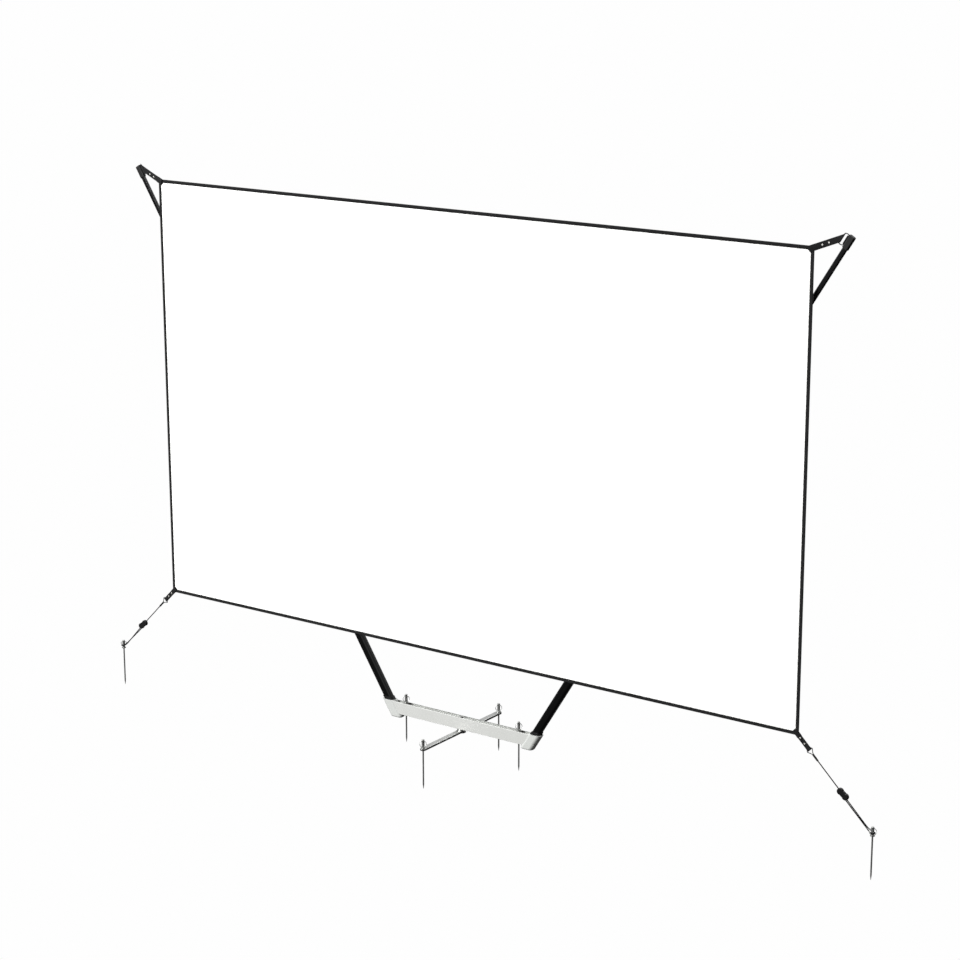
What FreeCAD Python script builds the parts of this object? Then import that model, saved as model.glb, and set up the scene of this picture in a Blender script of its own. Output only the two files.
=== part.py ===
import FreeCAD, Part
import math
import os

# Outdoor projection screen: a white cloth with a black edge tape, hung between two
# telescopic arms that lean apart from a low base, and pegged to the ground.
# Millimetres. X to the right, Y away from the audience, Z up.
# The origin is on the ground under the middle of the base.

Vec = FreeCAD.Vector

# Screen cloth
screen_span = 2224.0
screen_rise = 1295.5
screen_bottom = 240.0
screen_ahead = 15.5
cloth_thickness = 0.9
cloth_inset = 2.0
tape_width = 10.0
tape_thickness = 2.5
gusset = 9.0

# Webbing straps at the four corners
webbing = 1.3
strap_width = 17.0
strap_tail = 9.0
lower_strap_width = 13.7
lower_strap_reach = 52.5
lower_strap_tail = 11.0
hem_radius = 3.0
loop_clearance = 0.3
stud_radius = 2.4
stud_cap = 1.0
stud_post_radius = 1.2
upper_stud_places = (28.0, 46.7)
lower_stud_places = (14.5, 33.0)

# Arms
arm_foot_x = 233.0
arm_beside = 68.26
arm_beyond = 82.02
tube_width = 25.5
tube_depth = 20.0
tube_corner = 7.0
tube_corner_share = 0.7
tube_wall = 1.2
section_step = 1.9
section_count = 4
socket_floor = 12.0
outer_tube_top = 500.0
section_overlap = 54.0

# Plastic guides of the tubes
guide_grip = 16.0
guide_lip = 6.0
guide_wall = 1.6
guide_clearance = 0.25
slider_foot = 6.0
slider_stem = 14.0
slider_clearance = 0.2

# Tip cap and its strap ring
cap_width = 18.0
cap_depth = 11.5
cap_corner = 4.0
cap_length = 38.0
cap_roof = 3.0
cap_edge = 1.5
ring_wire = 2.5
ring_length = 36.0
ring_width = 14.0
ring_corner = 3.0
ring_tilt = 40.0
barrel_radius = 3.0
barrel_length = 24.0
barrel_stand = 1.6
ring_clearance = 0.3

# Base channel and front panel
base_depth = 24.0
channel_bottom = 12.0
channel_wall = 2.0
ledge_top = 42.4
rear_lip_top = 46.4
panel_top = 48.2
panel_thickness = 2.5
panel_rib_depth = 3.0
panel_rib_height = 1.8
seat_clearance = 0.2
panel_edge = 0.8

# Sockets at the ends of the base
socket_width = 38.0
socket_depth = 27.0
socket_corner = 11.0
socket_top = 50.0
socket_foot_fillet = 5.0
socket_clearance = 0.3
tongue_start = 214.0
tongue_clearance = 0.3
collar_height = 8.0
collar_inset = 1.6
collar_top_wall = 1.6
screw_radius = 1.5
screw_length = 9.0
screw_head_radius = 2.9
screw_head = 2.0
screw_rise = 8.0

# Cross bar and its pivot
bar_peg_reach = 187.5
bar_width = 17.5
bar_bottom = 1.5
bar_height = 6.0
bar_wall = 1.6
bar_roof = 1.8
boss_radius = 6.2
pivot_radius = 3.0
pivot_clearance = 0.15
pivot_head_radius = 5.5
pivot_head = 4.0
pivot_plate_radius = 13.0
pivot_play = 0.15

# Ground pegs and their pull rings
peg_length = 150.0
peg_head = 26.0
peg_head_radius = 4.25
peg_radius = 2.25
peg_point = 14.0
peg_tip_radius = 0.5
peg_flange_radius = 6.5
peg_flange = 2.0
peg_edge = 0.8
peg_hole_drop = 4.0
peg_hole_radius = 2.35
pull_ring_radius = 9.3
pull_ring_wire = 1.8
pull_ring_heading = 35.0
pull_ring_lean = 17.5
guy_ring_lean = 29.0
base_peg_x = 204.0
bush_bore_radius = 2.6
bush_radius = 5.0
bush_flange_radius = 8.0
bush_flange = 1.0
bush_collar = 6.6
bush_length = 4.0
guy_peg_out = 230.6
guy_peg_seat = 5.0

# Guy lines
cord_radius = 1.5
bridle_radius = 1.1
bridle_bend = 2.4
bridle_spread = 1.25
bridle_reach = 15.5
bridle_exit = 1.8
bridle_shoulder = 3.2
bridle_lead = 2.0
bridle_in = 4.0
sleeve_radius = 2.75
sleeve_length = 22.0
sleeve_edge = 0.6
guy_catch_height = 13.5
guy_catch_before = 2.7
guy_catch_bend = 6.0
guy_pair_run = 18.0
guy_pair_gap = 4.8
guy_pair_bend = 20.0
adjuster_place = 107.5
adjuster_length = 38.0
adjuster_lobe = 9.2
adjuster_waist = 7.8
adjuster_depth = 9.0
adjuster_turn = -6.0
adjuster_offset = 4.2
adjuster_shift = -0.6
adjuster_edge = 1.5
adjuster_clearance = 0.3
adjuster_lead = 8.0
adjuster_bend = 150.0
cord_end_in = 6.0

# One overrun serves every cut that goes right through
overrun = 5.0
# Two arcs of a route meet without a straight where less than this is left
shortest_straight = 0.01

screen_y = -screen_ahead
half_span = screen_span / 2
screen_top = screen_bottom + screen_rise
strap_thickness = 2 * webbing
corner_thickness = tape_thickness + 2 * webbing
front_y = -base_depth / 2
rear_y = base_depth / 2
peg_seat = ledge_top + bush_collar
bar_top = bar_bottom + bar_height
guy_peg_x = half_span + guy_peg_out
corner_from_foot = math.hypot(half_span - arm_foot_x, screen_top)
lean = math.atan2(half_span - arm_foot_x, screen_top) + math.asin(arm_beside / corner_from_foot)
arm_length = math.sqrt(corner_from_foot ** 2 - arm_beside ** 2) + arm_beyond
section_pitch = (arm_length - outer_tube_top) / (section_count - 1)
arm_axis = Vec(math.sin(lean), 0, math.cos(lean))
arm_out = Vec(math.cos(lean), 0, -math.sin(lean))


def save(name, shape):
    """Write one sub-part as STEP and print its volume."""
    if not shape.isValid():
        print("not valid:", name)
    shape.exportStep("parts/" + name + ".step")
    print(name, len(shape.Solids), "solid,", round(shape.Volume / 1000, 2), "cm3")


def mirrored(shape):
    """The same piece on the left."""
    return shape.mirror(Vec(0, 0, 0), Vec(1, 0, 0))


def save_pair(side_name, shape):
    """Write a right-hand piece and its mirror image."""
    save(side_name.replace("SIDE", "right"), shape)
    save(side_name.replace("SIDE", "left"), mirrored(shape))


def block(low, high):
    """Box between two corners."""
    size = high - low
    return Part.makeBox(size.x, size.y, size.z, low)


def rod(radius, start, end):
    """Round bar from one point to another."""
    way = end - start
    return Part.makeCylinder(radius, way.Length, start, way)


def rounded_bar(width, depth, corner, bottom, top):
    """Bar of rounded-rectangle section about the Z axis."""
    half_x = width / 2
    half_y = depth / 2
    inner_x = half_x - corner
    inner_y = half_y - corner
    bend = corner * math.sqrt(0.5)
    edges = [
        Part.LineSegment(Vec(-inner_x, -half_y, bottom), Vec(inner_x, -half_y, bottom)),
        Part.Arc(Vec(inner_x, -half_y, bottom), Vec(inner_x + bend, -inner_y - bend, bottom),
                 Vec(half_x, -inner_y, bottom)),
        Part.LineSegment(Vec(half_x, -inner_y, bottom), Vec(half_x, inner_y, bottom)),
        Part.Arc(Vec(half_x, inner_y, bottom), Vec(inner_x + bend, inner_y + bend, bottom),
                 Vec(inner_x, half_y, bottom)),
        Part.LineSegment(Vec(inner_x, half_y, bottom), Vec(-inner_x, half_y, bottom)),
        Part.Arc(Vec(-inner_x, half_y, bottom), Vec(-inner_x - bend, inner_y + bend, bottom),
                 Vec(-half_x, inner_y, bottom)),
        Part.LineSegment(Vec(-half_x, inner_y, bottom), Vec(-half_x, -inner_y, bottom)),
        Part.Arc(Vec(-half_x, -inner_y, bottom), Vec(-inner_x - bend, -inner_y - bend, bottom),
                 Vec(-inner_x, -half_y, bottom)),
    ]
    wire = Part.Wire([edge.toShape() for edge in edges])
    return Part.Face(wire).extrude(Vec(0, 0, top - bottom))


def on_arm(shape):
    """Move a piece made about the Z axis on to the right arm's axis."""
    moved = shape.copy()
    turn = FreeCAD.Rotation(Vec(0, 1, 0), math.degrees(lean))
    moved.Placement = FreeCAD.Placement(Vec(arm_foot_x, 0, 0), turn)
    return moved


def arm_point(along, out, back):
    """Point of the right arm: along its axis from the ground, out from it, and back from it."""
    return Vec(arm_foot_x, back, 0) + arm_axis * along + arm_out * out


def route_tube(points, radius, bends):
    """Round tube along straight runs joined by tangent arcs; bends gives each inner point's arc."""
    edges = []
    start = points[0]
    total = 0.0
    for index, bend in enumerate(bends):
        corner = points[index + 1]
        into = (corner - points[index]).normalize()
        out = (points[index + 2] - corner).normalize()
        turn = into.getAngle(out)
        cut = bend * math.tan(turn / 2)
        arc_start = corner - into * cut
        arc_end = corner + out * cut
        middle_way = (out - into).normalize()
        middle = corner + middle_way * (bend / math.cos(turn / 2) - bend)
        if (arc_start - start).Length > shortest_straight:
            edges.append(Part.LineSegment(start, arc_start).toShape())
        edges.append(Part.Arc(arc_start, middle, arc_end).toShape())
        total += (arc_start - start).Length + bend * turn
        start = arc_end
    edges.append(Part.LineSegment(start, points[-1]).toShape())
    total += (points[-1] - start).Length
    spine = Part.Wire(edges)
    section = Part.Wire([Part.Circle(points[0], points[1] - points[0], radius).toShape()])
    shell = Part.BRepOffsetAPI.MakePipeShell(spine)
    shell.add(section)
    shell.build()
    shell.makeSolid()
    tube = shell.shape()
    expected = math.pi * radius * radius * total
    print("  route", round(total, 1), "mm, radii", [round(bend, 1) for bend in bends],
          "volume over section times length", round(tube.Volume / expected, 4))
    return tube


def free_bend(points, index):
    """Arc radius of a free cord at an inner point: 0.45 of the shorter run over the half-turn tangent."""
    bend_share = 0.45
    into = points[index] - points[index - 1]
    out = points[index + 1] - points[index]
    return bend_share * min(into.Length, out.Length) / math.tan(into.getAngle(out) / 2)


def flat_band(corners, normal, thickness):
    """Flat piece of the given outline, as thick to each side of its plane."""
    lift = normal * (thickness / 2)
    outline = [corner - lift for corner in corners]
    outline.append(outline[0])
    return Part.Face(Part.makePolygon(outline)).extrude(normal * thickness)


# Cloth and edge tape

def make_cloth():
    """White cloth, cut a little smaller than the outside of the tape."""
    reach = half_span + tape_width / 2 - cloth_inset
    rise = tape_width / 2 - cloth_inset
    return block(Vec(-reach, screen_y - cloth_thickness / 2, screen_bottom - rise),
                 Vec(reach, screen_y + cloth_thickness / 2, screen_top + rise))


def frame_slab(outside, thickness):
    """Upright slab whose edges lie outside the tape's centre lines."""
    return block(Vec(-half_span - outside, screen_y - thickness / 2, screen_bottom - outside),
                 Vec(half_span + outside, screen_y + thickness / 2, screen_top + outside))


def corner_gusset(side, up):
    """Triangle of tape inside one corner of the screen."""
    inner = half_span - tape_width / 2
    edge = screen_top - tape_width / 2 if up > 0 else screen_bottom + tape_width / 2
    root = tape_width / 4
    corners = [
        Vec(side * (inner + root), screen_y, edge + up * root),
        Vec(side * (inner - gusset), screen_y, edge + up * root),
        Vec(side * (inner - gusset), screen_y, edge),
        Vec(side * inner, screen_y, edge - up * gusset),
        Vec(side * (inner + root), screen_y, edge - up * gusset),
    ]
    return flat_band(corners, Vec(0, 1, 0), tape_thickness)


def make_tape(cloth):
    """Black tape folded over the cloth's four edges, with a gusset in each corner."""
    outer = frame_slab(tape_width / 2, tape_thickness)
    window = frame_slab(-tape_width / 2, tape_thickness + overrun)
    gussets = [corner_gusset(side, up) for side in (-1, 1) for up in (-1, 1)]
    return outer.cut(window).fuse(gussets).removeSplitter().cut(cloth)


# Corner straps

def stud(place, normal, thickness):
    """Press stud: a post through the strap with a cap on both faces."""
    half = normal * (thickness / 2)
    tip = normal * (thickness / 2 + stud_cap)
    post = rod(stud_post_radius, place - tip, place + tip)
    front = rod(stud_radius, place - tip, place - half)
    back = rod(stud_radius, place + half, place + tip)
    solid = post.fuse([front, back]).removeSplitter()
    rims = [edge for edge in solid.Edges
            if edge.Curve.TypeId == "Part::GeomCircle" and edge.Curve.Radius > stud_post_radius
            and abs(abs((edge.Curve.Center - place).dot(normal)) - tip.Length) < stud_cap / 2]
    return solid.makeFillet(stud_cap / 2, rims)


def corner_tail(corner, way, width, tail, reach):
    """The strap's end, sewn over both faces of the cloth's corner."""
    flat = Vec(way.x, 0, way.z).normalize()
    side = Vec(-flat.z, 0, flat.x) * (width / 2)
    near = corner - flat * tail
    far = corner + flat * reach
    outline = [near - side, far - side, far + side, near + side]
    return flat_band(outline, Vec(0, 1, 0), corner_thickness)


def ring_bar_middle():
    """Middle of the bar of the tip ring that the strap goes round."""
    tilt = math.radians(ring_tilt)
    reach = ring_width - ring_wire
    along = top_tube_end() + cap_roof - cap_length / 2
    barrel = cap_width / 2 + barrel_stand
    return arm_point(along, -barrel - reach * math.cos(tilt), -reach * math.sin(tilt))


def make_upper_strap(cloth, tape):
    """Strap from the upper corner, looped round the tip ring's bar and closed by two press studs."""
    corner = Vec(half_span, screen_y, screen_top)
    bar = ring_bar_middle()
    way = (bar - corner).normalize()
    normal = arm_axis.cross(way).normalize()
    if normal.y < 0:
        normal = normal * -1
    side = normal.cross(way)
    run_out = strap_width / 2 / arm_axis.dot(side)
    low = corner - side * (strap_width / 2)
    high = corner + side * (strap_width / 2)
    outline = [low, bar - arm_axis * run_out, bar + arm_axis * run_out, high]
    band = flat_band(outline, normal, strap_thickness)
    half_loop = arm_axis * abs(run_out)
    eye = ring_wire / 2 + loop_clearance
    loop = rod(eye + webbing, bar - half_loop, bar + half_loop)
    bore = rod(eye, bar - half_loop * 2, bar + half_loop * 2)
    tail = corner_tail(corner, way, strap_width, strap_tail, tape_width)
    strap = band.fuse([loop, tail]).cut(bore).cut(tape).cut(cloth)
    studs = []
    for place in upper_stud_places:
        centre = corner + way * place
        studs.append(stud(centre, normal, strap_thickness))
    return strap.cut(Part.makeCompound(studs)).removeSplitter(), studs


def lower_way():
    """Direction of the guy line, down and outwards from the lower corner."""
    run = Vec(guy_peg_x - guy_catch_before - half_span, 0, guy_catch_height - screen_bottom)
    return run.normalize()


def make_lower_strap(cloth, tape):
    """Strap from the lower corner, with a hem at its end for the guy line's bridle."""
    corner = Vec(half_span, screen_y, screen_bottom)
    way = lower_way()
    normal = Vec(0, 1, 0)
    side = way.cross(normal) * (lower_strap_width / 2)
    end = corner + way * lower_strap_reach
    band = flat_band([corner - side, end - side, end + side, corner + side], normal, strap_thickness)
    half_hem = way.cross(normal) * (lower_strap_width / 2)
    hem = rod(hem_radius, end - half_hem, end + half_hem)
    bore = rod(bridle_radius + loop_clearance, end - half_hem * 2, end + half_hem * 2)
    tail = corner_tail(corner, way, lower_strap_width, lower_strap_tail, tape_width)
    strap = band.fuse([hem, tail]).cut(bore).cut(tape).cut(cloth)
    studs = []
    for place in lower_stud_places:
        thickness = corner_thickness if place < tape_width else strap_thickness
        studs.append(stud(corner + way * place, normal, thickness))
    return strap.cut(Part.makeCompound(studs)).removeSplitter(), studs


# Arms

def tube_top(section):
    """Upper end of a tube, along the arm from the ground."""
    return outer_tube_top + section * section_pitch


def top_tube_end():
    """Upper end of the thinnest tube."""
    return tube_top(section_count - 1)


def tube_bottom(section):
    """Lower end of a tube, along the arm from the ground."""
    if section == 0:
        return socket_floor
    return tube_top(section - 1) - section_overlap


def tube_bar(section, growth, bottom, top):
    """Bar with the outline of one tube section, grown by the same distance all round."""
    shrink = section_step * section - growth
    corner = tube_corner - shrink * tube_corner_share
    return rounded_bar(tube_width - 2 * shrink, tube_depth - 2 * shrink, corner, bottom, top)


def make_tube(section):
    """Black anodised tube section."""
    bottom = tube_bottom(section)
    top = tube_top(section)
    outer = tube_bar(section, 0, bottom, top)
    bore = tube_bar(section, -tube_wall, bottom - overrun, top + overrun)
    return on_arm(outer.cut(bore))


def make_guides(section):
    """Plastic guides of a section: the collar at its mouth and the slider at its foot."""
    pieces = []
    if section < section_count - 1:
        top = tube_top(section)
        collar = tube_bar(section, guide_wall, top - guide_grip, top + guide_lip)
        grip = tube_bar(section, 0, top - guide_grip - overrun, top)
        mouth = tube_bar(section + 1, guide_clearance, top - overrun, top + guide_lip + overrun)
        pieces.append(on_arm(collar.cut(grip).cut(mouth)))
    if section > 0:
        foot_end = tube_bottom(section)
        foot_growth = section_step - tube_wall - slider_clearance
        foot = tube_bar(section, foot_growth, foot_end - slider_foot, foot_end)
        stem = tube_bar(section, -tube_wall, foot_end, foot_end + slider_stem)
        pieces.append(on_arm(foot.fuse(stem).removeSplitter()))
    return Part.makeCompound(pieces)


def make_tip_cap():
    """Cap on the arm's tip with a barrel for the strap ring along its inner side."""
    top = top_tube_end() + cap_roof
    bottom = top - cap_length
    body = rounded_bar(cap_width, cap_depth, cap_corner, bottom, top)
    rim = [edge for edge in body.Edges if abs(edge.BoundBox.ZMin - top) < cap_edge / 2]
    body = body.makeFillet(cap_edge, rim)
    barrel_x = -cap_width / 2 - barrel_stand
    middle = (top + bottom) / 2
    low = middle - barrel_length / 2
    high = middle + barrel_length / 2
    barrel = rod(barrel_radius, Vec(barrel_x, 0, low), Vec(barrel_x, 0, high))
    eye_radius = ring_wire / 2 + ring_clearance
    eye = rod(eye_radius, Vec(barrel_x, 0, bottom - overrun), Vec(barrel_x, 0, top + overrun))
    seat = tube_bar(section_count - 1, 0, bottom - overrun, top - cap_roof)
    return on_arm(body.fuse(barrel).cut(eye).cut(seat).removeSplitter())


def make_tip_ring():
    """Rectangular wire ring that hinges in the cap's barrel and holds the strap."""
    along = top_tube_end() + cap_roof - cap_length / 2
    tilt = math.radians(ring_tilt)
    origin = arm_point(along, -cap_width / 2 - barrel_stand, 0)
    across = arm_out * -math.cos(tilt) + Vec(0, -math.sin(tilt), 0)
    half = (ring_length - ring_wire) / 2
    reach = ring_width - ring_wire
    low = origin - arm_axis * half
    high = origin + arm_axis * half
    points = [origin, high, high + across * reach, low + across * reach, low, origin]
    return route_tube(points, ring_wire / 2, [ring_corner] * (len(points) - 2))


# Base

def socket_outline(growth, bottom, top):
    """Bar with the socket's outline about the arm's axis, grown all round."""
    return on_arm(rounded_bar(socket_width + 2 * growth, socket_depth + 2 * growth, socket_corner + growth,
                              bottom, top))


def make_socket():
    """Moulded socket that carries an arm, cut level on top, with a tongue that fills the channel's end."""
    far = socket_top + socket_width
    tall = socket_outline(0, -socket_width, far / math.cos(lean))
    wide = arm_foot_x + far
    level = block(Vec(0, -socket_depth, 0), Vec(wide, socket_depth, socket_top))
    body = tall.common(level)
    foot = [edge for edge in body.Edges if abs(edge.BoundBox.ZMax) < socket_clearance]
    body = body.makeFillet(socket_foot_fillet, foot)
    tongue_low = channel_bottom + channel_wall + tongue_clearance
    tongue_high = ledge_top - channel_wall - tongue_clearance
    tongue_front = front_y + panel_thickness + panel_rib_depth + tongue_clearance
    tongue_back = rear_y - channel_wall
    tongue = block(Vec(tongue_start, tongue_front, tongue_low), Vec(arm_foot_x, tongue_back, tongue_high))
    bore = on_arm(tube_bar(0, socket_clearance, socket_floor, far / math.cos(lean)))
    return body.fuse(tongue).cut(bore).cut(Part.makeCompound(socket_screws())).removeSplitter()


def socket_screws():
    """Two screws through the channel's back wall into the right socket's tongue."""
    middle = (channel_bottom + ledge_top) / 2
    x = tongue_start + screw_rise
    screws = []
    for z in (middle - screw_rise, middle + screw_rise):
        shank = rod(screw_radius, Vec(x, rear_y - screw_length, z), Vec(x, rear_y, z))
        head = rod(screw_head_radius, Vec(x, rear_y, z), Vec(x, rear_y + screw_head, z))
        screw = shank.fuse(head).removeSplitter()
        rim = [edge for edge in screw.Edges
               if edge.Curve.TypeId == "Part::GeomCircle" and edge.BoundBox.YMin > rear_y + screw_head / 2]
        screws.append(screw.makeFillet(screw_head / 2, rim))
    return screws


def make_socket_collar():
    """Black collar in the socket's mouth, flaring down from the tube to the socket's rim."""
    low = socket_top
    high = socket_top + collar_height
    stretch = 1 / math.cos(lean)
    wires = []
    for z, width, depth in (
        (low, (socket_width - 2 * collar_inset) * stretch, socket_depth - 2 * collar_inset),
        (high, (tube_width + 2 * collar_top_wall) * stretch, tube_depth + 2 * collar_top_wall),
    ):
        x = arm_foot_x + z * math.tan(lean)
        ring = Part.Ellipse(Vec(x, 0, z), width / 2, depth / 2)
        wires.append(Part.Wire([ring.toShape()]))
    cone = Part.makeLoft(wires, True, False)
    body = cone.fuse(on_arm(tube_bar(0, collar_top_wall, socket_floor, high / math.cos(lean) * 2)).common(
        block(Vec(0, -socket_depth, low), Vec(arm_foot_x * 2, socket_depth, high))))
    bore = on_arm(tube_bar(0, guide_clearance, 0, high / math.cos(lean) * 2))
    return body.cut(bore).removeSplitter()


def channel_end_cut(clearance):
    """What the sockets take away from the channel's and the panel's ends."""
    reach = (socket_top + socket_width) / math.cos(lean)
    wedge_out = arm_foot_x + socket_top + socket_width
    beyond = on_arm(block(Vec(0, -base_depth, -socket_width), Vec(wedge_out, base_depth, reach)))
    socket = socket_outline(clearance, -socket_width, reach)
    right = socket.fuse(beyond)
    return Part.makeCompound([right, mirrored(right)])


def base_holes(radius):
    """Holes for the two base pegs, through the whole height of the base."""
    return [rod(radius, Vec(side * base_peg_x, 0, -overrun), Vec(side * base_peg_x, 0, panel_top + overrun))
            for side in (-1, 1)]


def make_channel():
    """Aluminium channel, open to the front, with a raised rear lip."""
    reach = arm_foot_x + socket_top
    inner_front = front_y + panel_thickness
    outer = block(Vec(-reach, inner_front, channel_bottom), Vec(reach, rear_y, ledge_top))
    lip = block(Vec(-reach, rear_y - channel_wall, channel_bottom), Vec(reach, rear_y, rear_lip_top))
    hollow = block(Vec(-reach - overrun, inner_front - overrun, channel_bottom + channel_wall),
                   Vec(reach + overrun, rear_y - channel_wall, ledge_top - channel_wall))
    cuts = base_holes(bush_radius)
    cuts.append(rod(pivot_radius, Vec(0, 0, 0), Vec(0, 0, panel_top)))
    for screw in socket_screws():
        cuts.append(screw)
        cuts.append(mirrored(screw))
    body = outer.fuse(lip).cut(hollow).cut(channel_end_cut(seat_clearance))
    return body.cut(Part.makeCompound(cuts)).removeSplitter()


def make_front_panel():
    """Plain front panel, clipped into the channel by two ribs along its back."""
    reach = arm_foot_x + socket_top
    plate = block(Vec(-reach, front_y, channel_bottom), Vec(reach, front_y + panel_thickness, panel_top))
    edges = [edge for edge in plate.Edges
             if edge.BoundBox.YMax < front_y + panel_thickness / 2 and edge.BoundBox.XLength > reach]
    plate = plate.makeFillet(panel_edge, edges)
    rib_back = front_y + panel_thickness + panel_rib_depth
    low = channel_bottom + channel_wall + seat_clearance
    high = ledge_top - channel_wall - seat_clearance
    ribs = []
    for rib_low in (low, high - panel_rib_height):
        corner = Vec(-tongue_start, front_y + panel_thickness, rib_low)
        ribs.append(block(corner, Vec(tongue_start, rib_back, rib_low + panel_rib_height)))
    return plate.fuse(ribs).cut(channel_end_cut(seat_clearance)).removeSplitter()


def peg_bush(seat, down, stand):
    """Metal bush; it stands out from the wall by its collar, whose outer face is at the seat height."""
    way = Vec(0, 0, -down)
    top = Vec(0, 0, seat)
    foot = top + way * (stand + bush_length)
    collar = rod(bush_flange_radius, top, top + way * stand)
    body = rod(bush_radius, top, foot)
    bore = rod(bush_bore_radius, top - way * overrun, foot + way * overrun)
    return collar.fuse(body).cut(bore).removeSplitter()


def make_peg_bushes():
    """Bushes for the base pegs, in the ledge and in the underside of the channel."""
    bushes = []
    for side in (-1, 1):
        upper = peg_bush(peg_seat, 1, bush_collar)
        lower = peg_bush(channel_bottom - bush_flange, -1, bush_flange)
        for bush in (upper, lower):
            bush.translate(Vec(side * base_peg_x, 0, 0))
            bushes.append(bush)
    return Part.makeCompound(bushes)


# Pivot and cross bar

def make_pivot_bolt():
    """Pivot bolt, its domed head on the ledge and its foot in the ground plate."""
    shank = rod(pivot_radius, Vec(0, 0, bar_bottom - pivot_play), Vec(0, 0, ledge_top))
    head = rod(pivot_head_radius, Vec(0, 0, ledge_top), Vec(0, 0, ledge_top + pivot_head))
    bolt = shank.fuse(head).removeSplitter()
    rim = [edge for edge in bolt.Edges if edge.BoundBox.ZMin > ledge_top + pivot_head / 2
           and edge.Curve.TypeId == "Part::GeomCircle"]
    return bolt.makeFillet(pivot_head / 2, rim)


def make_pivot_plates():
    """Round plates of the pivot: a spacer over the bar and the ground plate under it."""
    spacer = rod(pivot_plate_radius, Vec(0, 0, bar_top + pivot_play), Vec(0, 0, channel_bottom))
    spacer = spacer.cut(rod(pivot_radius, Vec(0, 0, 0), Vec(0, 0, panel_top)))
    ground = rod(pivot_plate_radius, Vec(0, 0, 0), Vec(0, 0, bar_bottom - pivot_play))
    return Part.makeCompound([spacer, ground])


def stadium(half_length, radius, bottom, top):
    """Upright bar along Y with round ends about its two end points."""
    body = block(Vec(-radius, -half_length, bottom), Vec(radius, half_length, top))
    ends = []
    for y in (-half_length, half_length):
        ends.append(rod(radius, Vec(0, y, bottom), Vec(0, y, top)))
    return body.fuse(ends).removeSplitter()


def make_cross_bar():
    """Cross bar: a shallow channel turned over, with bosses at the pegs and at the pivot."""
    radius = bar_width / 2
    body = stadium(bar_peg_reach, radius, bar_bottom, bar_top)
    top_rim = [edge for edge in body.Edges if edge.BoundBox.ZMin > bar_top - bar_roof / 2]
    body = body.makeFillet(bar_roof / 2, top_rim)
    hollow = stadium(bar_peg_reach, radius - bar_wall, bar_bottom - overrun, bar_top - bar_roof)
    bosses = []
    holes = [rod(pivot_radius + pivot_clearance, Vec(0, 0, -overrun), Vec(0, 0, bar_top + overrun))]
    for side in (-1, 0, 1):
        foot = Vec(0, side * bar_peg_reach, bar_bottom)
        bosses.append(rod(boss_radius, foot, Vec(0, side * bar_peg_reach, bar_top - bar_roof)))
        if side:
            holes.append(rod(bush_bore_radius, Vec(0, foot.y, -overrun), Vec(0, foot.y, bar_top + overrun)))
    return body.cut(hollow).fuse(bosses).cut(Part.makeCompound(holes)).removeSplitter()


# Pegs

def make_peg():
    """Ground peg turned from one bar: drilled head, seat flange, shaft and point. Its seat is at zero."""
    shaft_end = peg_head - peg_length
    profile = [
        Vec(0, 0, peg_head),
        Vec(peg_head_radius - peg_edge, 0, peg_head),
        Vec(peg_head_radius, 0, peg_head - peg_edge),
        Vec(peg_head_radius, 0, peg_flange),
        Vec(peg_flange_radius, 0, peg_flange),
        Vec(peg_flange_radius, 0, 0),
        Vec(peg_radius, 0, 0),
        Vec(peg_radius, 0, shaft_end + peg_point),
        Vec(peg_tip_radius, 0, shaft_end),
        Vec(0, 0, shaft_end),
        Vec(0, 0, peg_head),
    ]
    body = Part.Face(Part.makePolygon(profile)).revolve(Vec(0, 0, 0), Vec(0, 0, 1))
    height = peg_head - peg_hole_drop
    way = heading_way() * (peg_head_radius + overrun)
    hole = rod(peg_hole_radius, Vec(0, 0, height) - way, Vec(0, 0, height) + way)
    return body.cut(hole)


def heading_way():
    """Level direction of the hole through a peg's head."""
    turn = math.radians(pull_ring_heading)
    return Vec(math.cos(turn), math.sin(turn), 0)


def make_pull_ring(lean_angle):
    """Wire ring through the head's hole, hanging forward against the head or the cord."""
    swing = math.radians(lean_angle)
    axis = heading_way()
    forward = Vec(axis.y, -axis.x, 0)
    down = forward * math.sin(swing) - Vec(0, 0, math.cos(swing))
    hinge = Vec(0, 0, peg_head - peg_hole_drop)
    centre = hinge + down * pull_ring_radius
    return Part.makeTorus(pull_ring_radius, pull_ring_wire / 2, centre, axis.cross(down))


def peg_places():
    """Name, seat and ring lean of the six pegs."""
    return (
        ("left_base", Vec(-base_peg_x, 0, peg_seat), pull_ring_lean),
        ("right_base", Vec(base_peg_x, 0, peg_seat), pull_ring_lean),
        ("front_bar", Vec(0, -bar_peg_reach, bar_top), pull_ring_lean),
        ("rear_bar", Vec(0, bar_peg_reach, bar_top), pull_ring_lean),
        ("left_guy", Vec(-guy_peg_x, screen_y, guy_peg_seat), -guy_ring_lean),
        ("right_guy", Vec(guy_peg_x, screen_y, guy_peg_seat), guy_ring_lean),
    )


# Guy lines

def guy_point(along, under, back):
    """Point near the right guy line: along it from the corner, under it, and back from the cloth."""
    way = lower_way()
    below = Vec(way.z, 0, -way.x)
    return Vec(half_span, screen_y + back, screen_bottom) + way * along + below * under


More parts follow.
